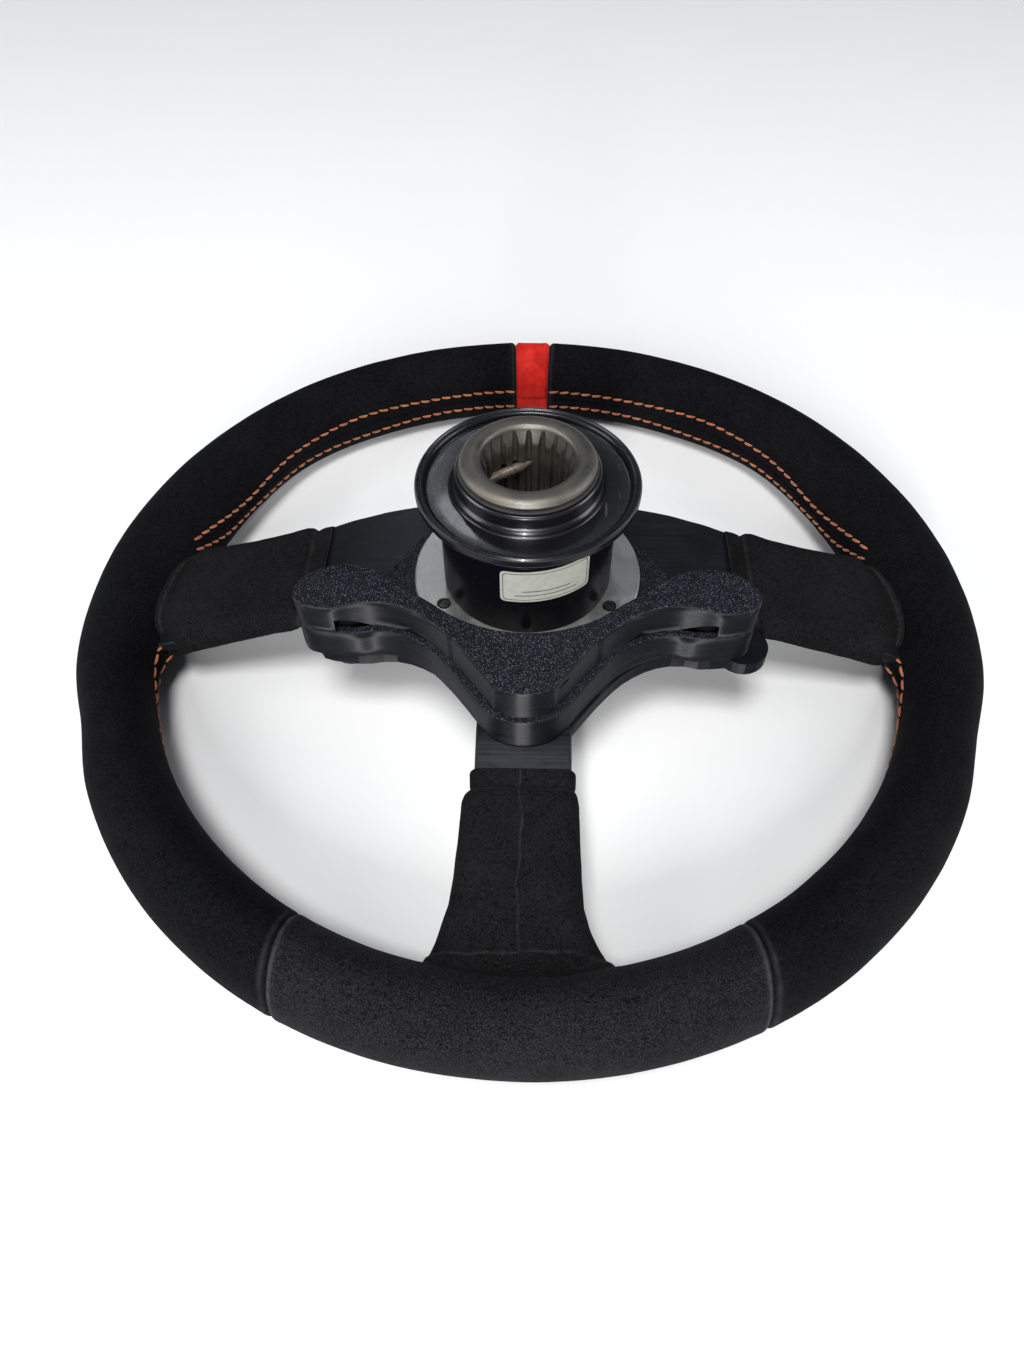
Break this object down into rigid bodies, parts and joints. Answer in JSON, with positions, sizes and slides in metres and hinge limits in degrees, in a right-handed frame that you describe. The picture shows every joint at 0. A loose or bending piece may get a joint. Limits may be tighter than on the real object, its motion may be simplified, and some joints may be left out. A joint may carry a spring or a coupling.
{
  "type": "quick release steering wheel",
  "caption": "Suede-covered three-spoke race steering wheel with a splined quick release hub, a pull-back release collar and a button housing behind the spokes.",
  "frame": {"origin": "on the steering axis, in the plane of the rim's front face, which faces the driver and lies on the floor here", "axes": "+Z along the steering axis to the column, +Y to 12 o'clock (the red band), +X to the right as seen from the column side"},
  "size_m": [0.351, 0.3478, 0.1028],
  "materials": {
    "anodised": "black anodised, fine brushing",
    "ring_steel": "plain tube",
    "foam": "moulded foam, matt",
    "black_suede": "black suede with a short nap",
    "grey_suede": "worn dark grey suede",
    "red_leather": "red perforation-free leather, matt",
    "printed_plastic": "blue-black print with glitter, layer lines on the walls",
    "bolt_steel": "plated",
    "button_plastic": "smooth",
    "switch_plastic": "moulded",
    "board": "solder mask",
    "battery_wrap": "foil pouch",
    "satin_aluminium": "satin turned",
    "gloss_black": "polished black anodising",
    "hub_steel": "satin, lightly worn",
    "spring_steel": "drawn wire",
    "pin_steel": "ground, with light surface rust",
    "bumper_rubber": "moulded",
    "label_white": "printed film, left blank"
  },
  "bodies": {
    "wheel": {"spoke_plate": "anodised", "bolt_ring": "anodised", "button_bezel_left": "anodised", "button_bezel_right": "anodised", "rim_ring": "ring_steel", "rim_foam": "foam", "cover_left": "black_suede", "cover_right": "black_suede", "cover_bottom": "grey_suede", "sleeve_left": "grey_suede", "sleeve_right": "grey_suede", "sleeve_bottom": "grey_suede", "centre_band": "red_leather", "housing_lower": "printed_plastic", "housing_upper": "printed_plastic", "housing_front_cover": "printed_plastic", "hub_bolt_1": "bolt_steel", "hub_bolt_2": "bolt_steel", "hub_bolt_3": "bolt_steel", "hub_bolt_4": "bolt_steel", "hub_bolt_5": "bolt_steel", "hub_bolt_6": "bolt_steel", "housing_screw_1": "bolt_steel", "housing_screw_2": "bolt_steel", "housing_screw_3": "bolt_steel", "housing_screw_4": "bolt_steel", "switch_body_left": "switch_plastic", "switch_body_right": "switch_plastic", "circuit_board": "board", "battery": "battery_wrap", "hub_disc": "satin_aluminium", "body_cup": "gloss_black", "splined_hub": "hub_steel", "retaining_ring": "spring_steel", "return_spring": "spring_steel", "bumper_ring": "bumper_rubber", "body_label": "label_white"},
    "collar": {"release_collar": "gloss_black"},
    "pin_a": {"lock_pin_1": "pin_steel"},
    "pin_b": {"lock_pin_2": "pin_steel"},
    "left_button": {"button_cap_left": "button_plastic"},
    "right_button": {"button_cap_right": "button_plastic"}
  },
  "joints": [
    {"name": "collar_pull", "type": "slide", "parent": "wheel", "child": "collar", "axis": [0, 0, -1], "range_m": [0, 0.007], "stiffness_N_per_m": 1500, "springref_m": -0.02, "deforming": ["return_spring"]},
    {"name": "pin_a_out", "type": "slide", "parent": "wheel", "child": "pin_a", "axis": [-0.5446, 0.8387, 0], "range_m": [0, 0.003]},
    {"name": "pin_b_out", "type": "slide", "parent": "wheel", "child": "pin_b", "axis": [0.5446, -0.8387, 0], "range_m": [0, 0.003]},
    {"name": "left_button_press", "type": "slide", "parent": "wheel", "child": "left_button", "axis": [0, 0, 1], "range_m": [0, 0.0015], "stiffness_N_per_m": 500, "springref_m": -0.002},
    {"name": "right_button_press", "type": "slide", "parent": "wheel", "child": "right_button", "axis": [0, 0, 1], "range_m": [0, 0.0015], "stiffness_N_per_m": 500, "springref_m": -0.002}
  ],
  "couplings": [
    {"joint": "pin_a_out", "follows": "collar_pull", "ratio": 0.42857},
    {"joint": "pin_b_out", "follows": "collar_pull", "ratio": 0.42857}
  ]
}
